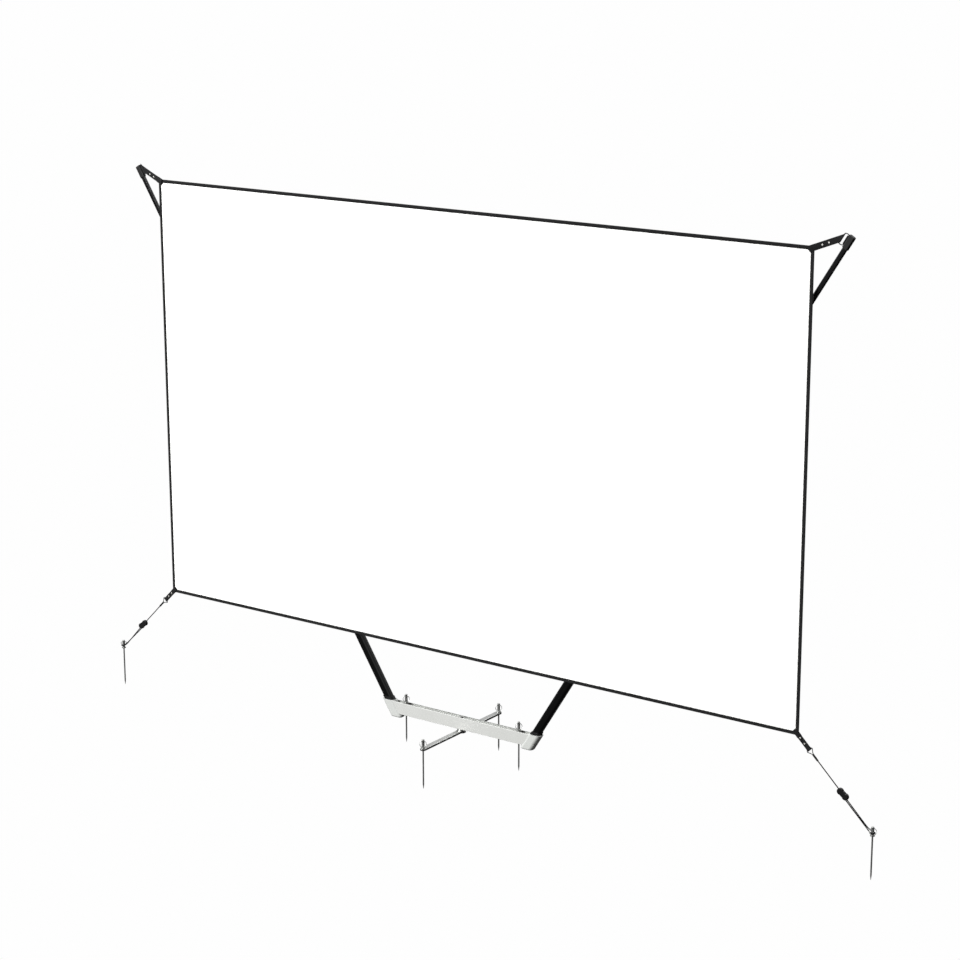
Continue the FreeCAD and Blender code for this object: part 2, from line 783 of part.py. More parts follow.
def bridle_route():
    """Limp cord: out of the sleeve, through the strap's hem and back into the sleeve."""
    hem = lower_strap_reach
    tip = hem + bridle_reach
    exit_side = lower_strap_width / 2 + bridle_exit
    shoulder = bridle_shoulder * math.sin(math.pi / 3)
    shoulder_side = exit_side + bridle_shoulder / 2
    half = [
        guy_point(tip + bridle_in, bridle_spread, 0),
        guy_point(tip - bridle_lead, bridle_spread, 0),
        guy_point(hem + shoulder, shoulder_side, 0),
        guy_point(hem, exit_side, 0),
    ]
    other_half = [
        guy_point(hem, -exit_side, 0),
        guy_point(hem + shoulder, -shoulder_side, 0),
        guy_point(tip - bridle_lead, -bridle_spread, 0),
        guy_point(tip + bridle_in, -bridle_spread, 0),
    ]
    return half + other_half


def make_bridle():
    """Thin cord through the strap's hem, both ends held by the sleeve."""
    points = bridle_route()
    ends = free_bend(points, 1)
    return route_tube(points, bridle_radius, [ends] + [bridle_bend] * 4 + [ends])


def make_sleeve(bridle):
    """Shrunk sleeve that joins the bridle's two ends to the guy line."""
    start = lower_strap_reach + bridle_reach
    body = rod(sleeve_radius, guy_point(start, 0, 0), guy_point(start + sleeve_length, 0, 0))
    rims = [edge for edge in body.Edges if edge.Curve.TypeId == "Part::GeomCircle"]
    return body.makeFillet(sleeve_edge, rims).cut(bridle)


def guy_loop_side():
    """Distance from the peg's axis to the middle of the line that goes round its head."""
    return peg_head_radius + cord_radius + loop_clearance


def guy_route():
    """Taut route: sleeve, adjuster, level round the peg's head and back into the adjuster."""
    start = lower_strap_reach + bridle_reach + sleeve_length
    middle = start + adjuster_place
    mouth = middle + adjuster_length / 2 + adjuster_lead
    side = guy_loop_side()
    near = guy_peg_x - guy_catch_before
    far = guy_peg_x + side
    pair_end = (Vec(near, screen_y, guy_catch_height) - guy_point(0, 0, 0)).Length - guy_pair_run
    pair_under = adjuster_offset / 2
    pair_back = guy_pair_gap / 2
    return [
        guy_point(start, 0, 0),
        guy_point(mouth, 0, 0),
        guy_point(pair_end, pair_under, pair_back),
        Vec(near, screen_y + side, guy_catch_height),
        Vec(far, screen_y + side, guy_catch_height),
        Vec(far, screen_y - side, guy_catch_height),
        Vec(near, screen_y - side, guy_catch_height),
        guy_point(pair_end, pair_under, -pair_back),
        guy_point(mouth, adjuster_offset, 0),
        guy_point(middle + cord_end_in, adjuster_offset, 0),
    ]


def make_guy_line():
    """Thin guy line, bent at the adjuster's mouth and turned level round the peg's head."""
    half = [adjuster_bend, guy_pair_bend, guy_catch_bend, guy_loop_side()]
    return route_tube(guy_route(), cord_radius, half + half[::-1])


def make_adjuster():
    """Moulded line runner with two lobes, a bore for the line and a blind bore for its end."""
    start = lower_strap_reach + bridle_reach + sleeve_length
    middle = start + adjuster_place
    half = adjuster_length / 2 - adjuster_lobe
    half_depth = adjuster_depth / 2
    turn = math.radians(adjuster_turn)
    pieces = []
    for end in (-1, 1):
        centre_along = middle + end * half * math.cos(turn)
        centre_under = adjuster_shift + end * half * math.sin(turn)
        pieces.append(rod(adjuster_lobe, guy_point(centre_along, centre_under, -half_depth),
                          guy_point(centre_along, centre_under, half_depth)))
    waist = []
    for along_sign, under_sign in ((-1, -1), (1, -1), (1, 1), (-1, 1)):
        along = along_sign * half
        under = under_sign * adjuster_waist
        waist.append(guy_point(middle + along * math.cos(turn) - under * math.sin(turn),
                               adjuster_shift + along * math.sin(turn) + under * math.cos(turn), 0))
    pieces.append(flat_band(waist, Vec(0, 1, 0), adjuster_depth))
    body = pieces[0].fuse(pieces[1:]).removeSplitter()
    rims = [edge for edge in body.Edges if edge.BoundBox.YLength < adjuster_edge / 2]
    body = body.makeFillet(adjuster_edge, rims)
    bore_radius = cord_radius + adjuster_clearance
    reach = adjuster_length
    bore = rod(bore_radius, guy_point(middle - reach, 0, 0), guy_point(middle + reach, 0, 0))
    inside = middle + cord_end_in
    pocket = rod(bore_radius, guy_point(inside - adjuster_clearance, adjuster_offset, 0),
                 guy_point(middle + reach, adjuster_offset, 0))
    return body.cut(bore).cut(pocket)


def main():
    os.makedirs("parts", exist_ok=True)
    cloth = make_cloth()
    tape = make_tape(cloth)
    save("screen_cloth", cloth)
    save("edge_tape", tape)
    upper_strap, upper_studs = make_upper_strap(cloth, tape)
    lower_strap, lower_studs = make_lower_strap(cloth, tape)
    save_pair("SIDE_upper_strap", upper_strap)
    save_pair("SIDE_lower_strap", lower_strap)
    studs = upper_studs + lower_studs
    save("strap_studs", Part.makeCompound(studs + [mirrored(piece) for piece in studs]))

    section_names = ("outer", "second", "third", "top")
    for section, section_name in enumerate(section_names):
        save_pair("SIDE_arm_" + section_name + "_tube", make_tube(section))
        save_pair("SIDE_arm_" + section_name + "_guides", make_guides(section))
    save_pair("SIDE_tip_cap", make_tip_cap())
    save_pair("SIDE_tip_ring", make_tip_ring())

    save("base_channel", make_channel())
    save("front_panel", make_front_panel())
    save_pair("SIDE_socket", make_socket())
    collar = make_socket_collar()
    save("socket_collars", Part.makeCompound([collar, mirrored(collar)]))
    screws = socket_screws()
    save("socket_screws", Part.makeCompound(screws + [mirrored(screw) for screw in screws]))
    save("peg_bushes", make_peg_bushes())
    save("pivot_bolt", make_pivot_bolt())
    save("pivot_plates", make_pivot_plates())
    save("cross_bar", make_cross_bar())

    for name, seat, ring_lean in peg_places():
        peg = make_peg()
        peg.translate(seat)
        save(name + "_peg", peg)
        ring = make_pull_ring(ring_lean)
        ring.translate(seat)
        save(name + "_pull_ring", ring)

    bridle = make_bridle()
    save_pair("SIDE_guy_bridle", bridle)
    save_pair("SIDE_guy_sleeve", make_sleeve(bridle))
    save_pair("SIDE_guy_line", make_guy_line())
    save_pair("SIDE_guy_adjuster", make_adjuster())


main()
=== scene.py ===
# %% [markdown]
# # Outdoor projection screen
#
# A white projection cloth hangs between two telescopic arms that lean apart from a low base.
# Straps hold its upper corners to a wire ring at each arm's tip. Guy lines pull its lower corners
# to the ground, and six ground pegs pin the whole thing down.
#
# The rigid parts come ready made as a fixed frame, so this lesson is about the rest: the light,
# the finish of each rigid part, and the soft pieces. Those are the cloth, its edge tape, the
# corner straps and the cords. Everything is in metres: X to the right, Y away from the audience,
# Z up.

import math

import bmesh
import bpy
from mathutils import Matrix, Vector


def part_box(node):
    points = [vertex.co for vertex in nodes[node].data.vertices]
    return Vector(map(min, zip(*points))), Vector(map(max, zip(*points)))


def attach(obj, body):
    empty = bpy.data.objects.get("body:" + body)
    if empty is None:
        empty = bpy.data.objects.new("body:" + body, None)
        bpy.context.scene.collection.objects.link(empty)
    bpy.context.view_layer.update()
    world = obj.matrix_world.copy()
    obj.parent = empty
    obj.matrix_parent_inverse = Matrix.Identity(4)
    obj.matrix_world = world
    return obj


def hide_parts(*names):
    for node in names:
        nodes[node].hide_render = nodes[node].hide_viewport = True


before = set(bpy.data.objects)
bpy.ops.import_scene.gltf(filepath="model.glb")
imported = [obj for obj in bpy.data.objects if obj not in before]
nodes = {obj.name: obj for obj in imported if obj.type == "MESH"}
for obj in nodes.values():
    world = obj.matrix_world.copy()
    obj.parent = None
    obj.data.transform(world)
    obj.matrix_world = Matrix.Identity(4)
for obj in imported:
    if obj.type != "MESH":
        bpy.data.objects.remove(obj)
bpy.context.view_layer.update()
sides = {"left": -1.0, "right": 1.0}

# %% [markdown]
# ## Camera
#
# The photograph looks down on the screen from the right, through a long lens. A camera can be
# aimed by eye, but here it was solved from the cloth's four corners, which are sharp in the
# picture. Its place, its three angles and its focal length in pixels then make everything else
# fall into line.

# %% Camera
photo_pixels = 960
focal_pixels = 2450.0
sensor_mm = 36.0
camera_place = (4.0023, -5.4599, 2.5157)
camera_angles = (75.4844, 0.1216, 35.7430)
view_depth = 400.0


def add_object(name, data):
    """New object in the scene that shows this data."""
    new = bpy.data.objects.new(name, data)
    bpy.context.scene.collection.objects.link(new)
    return new


def make_camera():
    """Camera that frames the screen as the photograph does."""
    data = bpy.data.cameras.new("photo_camera")
    data.sensor_width = sensor_mm
    data.lens = focal_pixels / photo_pixels * sensor_mm
    data.clip_end = view_depth
    camera = add_object("photo_camera", data)
    camera.location = camera_place
    camera.rotation_euler = [math.radians(angle) for angle in camera_angles]
    bpy.context.scene.camera = camera
    return camera


camera = make_camera()
print("camera lens:", round(camera.data.lens, 1), "mm")

# %% [markdown]
# ## Colour and shader nodes
#
# Colours are picked as hex values, as a screen shows them. A shader counts light, which is
# linear, so one function turns them. Shader trees get long when every node is written out by
# hand. One small function adds a node of any kind, sets its options and joins it up.

# %% Colour and shader nodes
mm = 0.001


def linear(hex_colour):
    """Hex screen colour as linear red, green, blue and alpha."""
    values = [int(hex_colour[i:i + 2], 16) / 255.0 for i in (1, 3, 5)]
    turned = [v / 12.92 if v <= 0.04045 else ((v + 0.055) / 1.055) ** 2.4 for v in values]
    return (*turned, 1.0)


def add_node(tree, kind, inputs=None, feeds=None, **settings):
    """New node: inputs are values or other nodes' outputs, and feeds are the inputs it goes to."""
    node = tree.nodes.new(kind)
    for key, value in settings.items():
        setattr(node, key, value)
    for key, value in (inputs or {}).items():
        if isinstance(value, bpy.types.NodeSocket):
            tree.links.new(value, node.inputs[key])
        else:
            node.inputs[key].default_value = value
    for key, target in (feeds or {}).items():
        tree.links.new(node.outputs[key], target)
    return node


print("a black of #161617 is", round(linear("#161617")[0], 4), "as light")

# %% [markdown]
# ## Light
#
# The picture is a cut-out on white. Surfaces that face up are bright, and those that face down
# or to the right are dark. A ring of lamps could do that. A sky that is bright above, dark below
# and weak to the right needs only two extra lamps, and it shows in the metal as a soft horizon.
# The key lamp is a large soft box at the front left, which brings the cloth up to plain white. A
# weaker one behind keeps the cloth's back and the arms from drowning. The lens itself sees plain
# white for sky.

# %% Sky
sky_above = 0.85
sky_below = 0.06
sky_left = 1.15
sky_right = 0.16
sky_seen = 1.0
sky_rise = (-0.12, 0.30)


def make_sky():
    """Sky that is bright above the horizon, dark below it and weaker to the right."""
    world = bpy.data.worlds.new("studio_sky")
    world.use_nodes = True
    tree = world.node_tree
    background = tree.nodes["Background"]
    background.inputs["Color"].default_value = linear("#FFFFFF")
    place = add_node(tree, "ShaderNodeTexCoord")
    way = add_node(tree, "ShaderNodeSeparateXYZ", {"Vector": place.outputs["Generated"]})
    height = add_node(tree, "ShaderNodeMapRange",
                      {"Value": way.outputs["Z"], "From Min": sky_rise[0],
                       "From Max": sky_rise[1], "To Min": sky_below, "To Max": sky_above},
                      interpolation_type="SMOOTHSTEP")
    across = add_node(tree, "ShaderNodeMapRange",
                      {"Value": way.outputs["X"], "From Min": -1.0, "From Max": 1.0,
                       "To Min": sky_left, "To Max": sky_right})
    glow = add_node(tree, "ShaderNodeMath",
                    {0: height.outputs["Result"], 1: across.outputs["Result"]},
                    operation="MULTIPLY")
    path = add_node(tree, "ShaderNodeLightPath")
    add_node(tree, "ShaderNodeMapRange",
             {"Value": path.outputs["Is Camera Ray"], "To Min": glow.outputs["Value"],
              "To Max": sky_seen},
             {"Result": background.inputs["Strength"]})
    bpy.context.scene.world = world


make_sky()
print("sky above:", sky_above, "below:", sky_below, "left:", sky_left, "right:", sky_right)

# %% Soft boxes
aim_point = (0.0, 0.0, 0.7)
# Place, side in metres and power in watts
soft_boxes = {
    "key_soft_box": ((-4.2, -7.0, 5.2), 4.0, 1350.0),
    "rear_soft_box": ((0.3, 5.0, 6.8), 3.0, 300.0),
}


def make_soft_box(name, place, size, watts):
    """Square soft box that looks at the screen."""
    data = bpy.data.lights.new(name, "AREA")
    data.energy = watts
    data.size = size
    light = add_object(name, data)
    light.location = place
    aim = Vector(aim_point) - Vector(place)
    light.rotation_euler = aim.to_track_quat("-Z", "Y").to_euler()


for name, (place, size, watts) in soft_boxes.items():
    make_soft_box(name, place, size, watts)
    print(name, watts, "W,", size, "m square")
bpy.context.scene.view_settings.view_transform = "Standard"

# %% [markdown]
# ## Floor
#
# The floor is a plain pale sheet. It lies just below the points of the pegs, because the
# photograph shows the pegs whole. A real floor would throw light up under the arms, which are
# nearly black in the picture, so this one glows evenly for the lens alone and lights nothing.

# %% Floor
floor_height = -0.135
floor_reach = 180.0


def make_floor():
    """Pale floor, far larger than the view."""
    material = bpy.data.materials.new("pale_studio_floor")
    material.use_nodes = True
    shader = material.node_tree.nodes["Principled BSDF"]
    shader.inputs["Base Color"].default_value = linear("#000000")
    shader.inputs["Specular IOR Level"].default_value = 0.0
    shader.inputs["Emission Color"].default_value = linear("#FEFEFE")
    shader.inputs["Emission Strength"].default_value = 1.0
    mesh = bpy.data.meshes.new("studio_floor")
    low, high = -floor_reach, floor_reach
    corners = [(low, low), (high, low), (high, high), (low, high)]
    mesh.from_pydata([(x, y, floor_height) for x, y in corners], [], [(0, 1, 2, 3)])
    mesh.materials.append(material)
    floor = add_object("studio_floor", mesh)
    floor.visible_diffuse = False
    floor.visible_glossy = False
    floor.visible_transmission = False
    floor.visible_shadow = False


make_floor()
print("floor height:", floor_height, "m")

# %% [markdown]
# ## Finishes
#
# A finish here is one shader with a pattern on top. The pattern steers three things together,
# because on a real surface they go together: a thread's crown is paler, smoother and higher than
# the gap beside it. Painted pictures could do that, but they fix one size. Noise and wave
# patterns are worked out from real sizes, so a pitch of 1.6 mm is 1.6 mm on the part.
#
# Where two things don't go together, a second pattern takes over one of them: tone for the
# colour, or ridges for the relief.

# %% Shared steps of a finish
# Some sockets of a colour mix share a name, so they are picked by number
mix_factor, mix_first, mix_second, mix_result = 0, 6, 7, 2
# A wave pattern of scale 1 has this period
wave_period = math.pi / 10


def start_finish(name, metallic, coordinates="Object", ior=None):
    """New material with its tree, its shader and the coordinates for its pattern."""
    material = bpy.data.materials.new(name)
    material.use_nodes = True
    tree = material.node_tree
    shader = tree.nodes["Principled BSDF"]
    shader.inputs["Metallic"].default_value = metallic
    if ior:
        shader.inputs["IOR"].default_value = ior
    place = add_node(tree, "ShaderNodeTexCoord")
    return material, tree, shader, place.outputs[coordinates]


def lay_pattern(tree, shader, pattern, colours, roughness, relief, tone=None, ridges=None):
    """Steer colour, roughness and relief from a pattern, or from a tone and ridges of their own."""
    height, strength = relief
    add_node(tree, "ShaderNodeMix",
             {mix_factor: tone or pattern,
              mix_first: linear(colours[0]), mix_second: linear(colours[1])},
             {mix_result: shader.inputs["Base Color"]}, data_type="RGBA")
    add_node(tree, "ShaderNodeMapRange",
             {"Value": pattern, "To Min": roughness[0], "To Max": roughness[1]},
             {"Result": shader.inputs["Roughness"]})
    return add_node(tree, "ShaderNodeBump",
                    {"Height": ridges or pattern, "Distance": height, "Strength": strength},
                    {"Normal": shader.inputs["Normal"]})


print("a wave pattern of scale 1 repeats every", round(wave_period / mm, 1), "mm")

# %% [markdown]
# ### Coated polyester cloth
#
# The cloth is knitted polyester with a matte white coating rolled on. The coating scatters light
# evenly, so the eye gets plain white from every side. Close up, the knit shows through it as a
# fine grain. Its loops could be modelled one by one, but under a coating only their bumps are
# left, and a fine noise gives those. The loops are about 0.4 mm apart on such cloth and drawn at
# 1.1 mm so that they show.

# %% Coated polyester cloth
polyester_ior = 1.54
cloth_grain = 1.1 * mm
knit_detail = 2.0
cloth_colours = ("#F4F4F2", "#FDFDFB")
cloth_roughness = (0.94, 0.84)
cloth_relief = (0.1 * mm, 0.3)
cloth_shine = 0.25


def coated_cloth():
    """Matte white coating over a fine knit."""
    material, tree, shader, place = start_finish("coated_polyester_cloth", 0.0, ior=polyester_ior)
    grain = add_node(tree, "ShaderNodeTexNoise",
                     {"Vector": place, "Scale": 1.0 / cloth_grain, "Detail": knit_detail})
    lay_pattern(tree, shader, grain.outputs["Fac"], cloth_colours, cloth_roughness, cloth_relief)
    shader.inputs["Specular IOR Level"].default_value = cloth_shine
    return material


cloth_material = coated_cloth()
print("grain of", cloth_material.name, round(cloth_grain / mm, 2), "mm")

# %% [markdown]
# ### Woven nylon tape and webbing
#
# Both are black nylon, woven flat on a narrow loom and dyed. Threads cross over and under, so
# the eye gets a fine check, deep black in the gaps and dark grey on the crowns. The threads could
# be modelled, but seven metres of tape have thousands. Two ridge patterns multiplied give the same
# check: high where both threads are on top. A slow noise fades the crowns here and there, as use
# does. The webbing's threads are drawn at their real 1.6 mm.

# %% Woven nylon
nylon_ior = 1.53
webbing_thread = 1.6 * mm
thread_wander = 0.4
fading_size = 16.0 * mm
weave_roughness = (0.9, 0.72)
weave_relief = (0.4 * mm, 0.5)
nylon_shine = 0.22
nylon_fuzz = 0.03


def woven_nylon(name, thread, colours):
    """Black weave that runs along the piece."""
    material, tree, shader, place = start_finish(name, 0.0, "UV", nylon_ior)
    threads = {"Vector": place, "Scale": wave_period / thread, "Distortion": thread_wander}
    warp = add_node(tree, "ShaderNodeTexWave", threads, bands_direction="X")
    weft = add_node(tree, "ShaderNodeTexWave", threads, bands_direction="Y")
    weave = add_node(tree, "ShaderNodeMath", {0: warp.outputs["Fac"], 1: weft.outputs["Fac"]},
                     operation="MULTIPLY")
    fading = add_node(tree, "ShaderNodeTexNoise", {"Vector": place, "Scale": 1.0 / fading_size})
    worn = add_node(tree, "ShaderNodeMath",
                    {0: weave.outputs["Value"], 1: fading.outputs["Fac"]}, operation="MULTIPLY")
    relief = lay_pattern(tree, shader, weave.outputs["Value"], colours, weave_roughness,
                         weave_relief, tone=worn.outputs["Value"])
    shader.inputs["Specular IOR Level"].default_value = nylon_shine
    shader.inputs["Sheen Weight"].default_value = nylon_fuzz
    return material, tree, shader, place, relief


webbing_material = woven_nylon("woven_nylon_webbing", webbing_thread, ("#0B0B0C", "#2A2A2C"))[0]
print("threads of", webbing_material.name, round(webbing_thread / mm, 2), "mm")

# %% [markdown]
# The tape is a finer weave: its threads, really 0.5 mm apart, are drawn at 0.9 mm so that they
# show. It is sewn on with one row of stitches near its inner edge. A row of thread could be
# modelled, but short raised dashes in the relief are enough at this distance.

# %% Stitched tape
tape_thread = 0.9 * mm
stitch_pitch = 6.4 * mm
stitch_gap = 1.6 * mm
stitch_width = 0.7 * mm
stitch_height = 0.4 * mm
stitch_from_edge = 2.2 * mm


def stitched_tape():
    """Woven tape with a row of raised stitches near its inner edge."""
    material, tree, shader, place, relief = woven_nylon(
        "woven_nylon_tape", tape_thread, ("#0B0B0C", "#29292A"))
    spot = add_node(tree, "ShaderNodeSeparateXYZ", {"Vector": place})
    beat = add_node(tree, "ShaderNodeMath", {0: spot.outputs["X"], 1: stitch_pitch / 2},
                    operation="PINGPONG")
    dash = add_node(tree, "ShaderNodeMath", {0: beat.outputs["Value"], 1: stitch_gap / 2},
                    operation="GREATER_THAN")
    aside = add_node(tree, "ShaderNodeMath", {0: spot.outputs["Y"], 1: stitch_from_edge},
                     operation="SUBTRACT")
    distance = add_node(tree, "ShaderNodeMath", {0: aside.outputs["Value"]}, operation="ABSOLUTE")
    near = add_node(tree, "ShaderNodeMath", {0: distance.outputs["Value"], 1: stitch_width / 2},
                    operation="LESS_THAN")
    stitches = add_node(tree, "ShaderNodeMath",
                        {0: dash.outputs["Value"], 1: near.outputs["Value"]},
                        operation="MULTIPLY")
    add_node(tree, "ShaderNodeBump",
             {"Height": stitches.outputs["Value"], "Distance": stitch_height, "Strength": 1.0,
              "Normal": relief.outputs["Normal"]}, {"Normal": shader.inputs["Normal"]})
    return material


tape_material = stitched_tape()
print("stitches of", tape_material.name, round((stitch_pitch - stitch_gap) / mm, 2), "mm long,",
      "one every", round(stitch_pitch / mm, 2), "mm")

# %% [markdown]
# ### Braided polyester cord
#
# A cord's cover is braided from strands that wind round it both ways, so the eye gets a
# criss-cross with a soft shine on each crown. Modelling the strands would take a great many
# faces for something a pixel wide. Two slanted ridge patterns, of which the higher wins, give it
# in the material. A curve's own coordinates go from 0 to 1, so they are first stretched to its
# length and girth.

# %% Braided polyester cord
line_thickness = 3.0 * mm
line_length = 0.3743
line_strand = 1.2 * mm
bridle_thickness = 2.2 * mm
bridle_length = 0.0619
bridle_strand = 0.9 * mm
braid_slant = math.radians(50.0)
braid_roughness = (0.9, 0.7)
braid_relief = (0.3 * mm, 0.5)
braid_shine = 0.1


def braided_cord(name, length, thickness, strand, colours):
    """Cover of strands that cross at a slant."""
    material, tree, shader, place = start_finish(name, 0.0, "UV", polyester_ior)
    real = add_node(tree, "ShaderNodeMapping",
                    {"Vector": place, "Scale": (length, math.pi * thickness, 1.0)})
    strands = []
    for slant in (-braid_slant, braid_slant):
        wound = add_node(tree, "ShaderNodeMapping",
                         {"Vector": real.outputs["Vector"], "Rotation": (0.0, 0.0, slant)})
        strands.append(add_node(tree, "ShaderNodeTexWave",
                                {"Vector": wound.outputs["Vector"],
                                 "Scale": wave_period / strand}))
    braid = add_node(tree, "ShaderNodeMath",
                     {0: strands[0].outputs["Fac"], 1: strands[1].outputs["Fac"]},
                     operation="MAXIMUM")
    lay_pattern(tree, shader, braid.outputs["Value"], colours, braid_roughness, braid_relief)
    shader.inputs["Specular IOR Level"].default_value = braid_shine
    return material


line_material = braided_cord("braided_polyester_line", line_length, line_thickness, line_strand,
                             ("#060607", "#121213"))
bridle_material = braided_cord("braided_polyester_bridle", bridle_length, bridle_thickness,
                               bridle_strand, ("#111112", "#2C2C2E"))
print("strands:", round(line_strand / mm, 2), "and", round(bridle_strand / mm, 2), "mm")

# %% [markdown]
# ### Drawn and anodised aluminium
#
# The arm's tubes, the base channel and the cross bar are drawn through a die and then anodised.
# The die leaves fine lines along the length, and the eye gets long soft streaks in the shine.
# An anisotropic shine could stand for them, but it has no streaks to see close up. Noise
# stretched along the piece gives them. On the arms the length leans, so the pattern is turned
# first. The bushes and the pivot's plates are turned from drawn bar.
#
# Black anodising is dyed and then sealed, which leaves a hard clear oxide film on top. So the
# tubes are metal with a dark colour under a thin coat, and the coat gives the tube's upper side
# its grey sheen while its front stays black.

# %% Drawn and anodised aluminium
arm_lean = math.radians(32.0)
streak_width = 1.4 * mm
streak_length = 110.0 * mm
streak_detail = 4.0
streak_relief = (0.02 * mm, 0.25)
oxide_ior = 1.65
film_roughness = 0.14
tube_film = 0.8


def drawn_aluminium(name, colours, roughness, along, turn=0.0, film=0.0):
    """Streaked anodised aluminium; the streaks lie along one axis."""
    material, tree, shader, place = start_finish(name, 1.0)
    turned = add_node(tree, "ShaderNodeMapping", {"Vector": place, "Rotation": (0.0, turn, 0.0)})
    scale = [1.0 / streak_width] * 3
    scale["XYZ".index(along)] = 1.0 / streak_length
    stretched = add_node(tree, "ShaderNodeMapping",
                         {"Vector": turned.outputs["Vector"], "Scale": scale})
    streaks = add_node(tree, "ShaderNodeTexNoise",
                       {"Vector": stretched.outputs["Vector"], "Scale": 1.0,
                        "Detail": streak_detail})
    lay_pattern(tree, shader, streaks.outputs["Fac"], colours, roughness, streak_relief)
    shader.inputs["Coat Weight"].default_value = film
    shader.inputs["Coat Roughness"].default_value = film_roughness
    shader.inputs["Coat IOR"].default_value = oxide_ior
    return material


tube_materials = {}
for side, sign in sides.items():
    tube_materials[side] = drawn_aluminium(
        "black_anodised_aluminium_" + side, ("#181819", "#29292A"), (0.26, 0.4), "Z",
        turn=-sign * arm_lean, film=tube_film)
channel_material = drawn_aluminium(
    "natural_anodised_channel", ("#888987", "#A1A2A0"), (0.38, 0.5), "X")
bar_material = drawn_aluminium(
    "natural_anodised_bar", ("#A8A9A8", "#C2C3C1"), (0.34, 0.46), "Y")
fitting_material = drawn_aluminium(
    "turned_aluminium", ("#A6A7A5", "#C6C7C5"), (0.34, 0.46), "Z")
print("streaks:", round(streak_width / mm, 2), "by", round(streak_length / mm), "mm")

# %% [markdown]
# ### Turned, drawn and plated steel
#
# The pegs are steel bar, turned on a lathe and zinc plated: grey, satin, with fine rings from
# the tool and smears from hands. The pull rings are drawn wire with a bright plating, the tip
# rings wire that was blackened, the studs stamped and nickel plated, the bolt and the screws
# turned and dark plated. The lathe's rings, really 0.1 mm apart, are drawn at 0.5 mm so that
# they show. Wire and stampings have shallow dents of 2 mm instead. Marks this fine could be cut
# into the mesh, but they show only in how they catch the light, and a relief gives that.

# %% Turned, drawn and plated steel
smear_size = 6.0 * mm
lathe_pitch = 0.5 * mm
lathe_wander = 1.0
dent_size = 2.0 * mm
mark_relief = (0.01 * mm, 0.3)


def plated_steel(name, colours, roughness, turned):
    """Plated metal: smears in its tone, and in its relief lathe rings or the dents of drawing."""
    material, tree, shader, place = start_finish(name, 1.0)
    smears = add_node(tree, "ShaderNodeTexNoise", {"Vector": place, "Scale": 1.0 / smear_size})
    if turned:
        marks = add_node(tree, "ShaderNodeTexWave",
                         {"Vector": place, "Scale": wave_period / lathe_pitch,
                          "Distortion": lathe_wander}, bands_direction="Z")
    else:
        marks = add_node(tree, "ShaderNodeTexNoise", {"Vector": place, "Scale": 1.0 / dent_size})
    lay_pattern(tree, shader, smears.outputs["Fac"], colours, roughness, mark_relief,
                ridges=marks.outputs["Fac"])
    return material


peg_material = plated_steel(
    "zinc_plated_turned_steel", ("#A0A19F", "#C2C3C1"), (0.4, 0.55), turned=True)
wire_material = plated_steel(
    "bright_plated_wire", ("#A9AAA8", "#C9CAC8"), (0.35, 0.5), turned=False)
dark_wire_material = plated_steel(
    "blackened_wire", ("#1A1A1B", "#3A3A3C"), (0.35, 0.5), turned=False)
stud_material = plated_steel(
    "nickel_plated_stud", ("#DAD9D4", "#F2F1EC"), (0.5, 0.62), turned=False)
bolt_material = plated_steel(
    "dark_plated_bolt", ("#262627", "#404041"), (0.4, 0.55), turned=True)
print("lathe rings:", round(lathe_pitch / mm, 2), "mm, dents:", round(dent_size / mm, 2), "mm")

# %% [markdown]
# ### Moulded plastic
#
# The sockets and the front panel are moulded ABS, the collars, guides, caps and line runners are
# moulded nylon, and the sleeves are polyolefin shrunk on with heat. A mould is spark eroded,
# which leaves the plastic a fine grain: the eye gets a soft, slightly broken shine. The grain is
# really 0.1 mm and drawn near 1 mm. Displacing the mesh could give it, but at a hundredth of a
# millimetre nobody could tell. The colour runs through the plastic, so it hardly varies.

# %% Moulded plastic
abs_ior = 1.54
polyolefin_ior = 1.5
mottle_size = 30.0 * mm
grain_detail = 2.0
grain_relief = (0.01 * mm, 0.5)


def moulded_plastic(name, colours, roughness, grain, ior, shine=0.5):
    """Plastic with the mould's grain."""
    material, tree, shader, place = start_finish(name, 0.0, ior=ior)
    mottle = add_node(tree, "ShaderNodeTexNoise", {"Vector": place, "Scale": 1.0 / mottle_size})
    sparks = add_node(tree, "ShaderNodeTexNoise",
                      {"Vector": place, "Scale": 1.0 / grain, "Detail": grain_detail})
    lay_pattern(tree, shader, sparks.outputs["Fac"], colours, roughness, grain_relief,
                tone=mottle.outputs["Fac"])
    shader.inputs["Specular IOR Level"].default_value = shine
    return material


socket_material = moulded_plastic(
    "white_moulded_abs", ("#C2C4C1", "#CACCC9"), (0.34, 0.46), 1.2 * mm, abs_ior)
panel_material = moulded_plastic(
    "pale_moulded_abs", ("#C1C2BF", "#C7C8C5"), (0.42, 0.54), 1.0 * mm, abs_ior)
black_material = moulded_plastic(
    "black_moulded_nylon", ("#080809", "#0F0F10"), (0.5, 0.65), 0.7 * mm, nylon_ior, shine=0.25)
runner_material = moulded_plastic(
    "black_runner_nylon", ("#070708", "#0E0E0F"), (0.4, 0.55), 0.9 * mm, nylon_ior, shine=0.3)
sleeve_material = moulded_plastic(
    "black_shrunk_polyolefin", ("#09090A", "#131314"), (0.55, 0.7), 0.6 * mm, polyolefin_ior,
    shine=0.3)
print("finishes so far:", len(bpy.data.materials))

# %% [markdown]
# ## Dress the rigid parts
#
# Each rigid part keeps its shape and takes a finish by its name. Its curved faces are shaded
# smooth and its edges are kept crisp, by the angle between faces: that is quicker than marking
# edges by hand, and these parts have no shallow creases that it could miss.

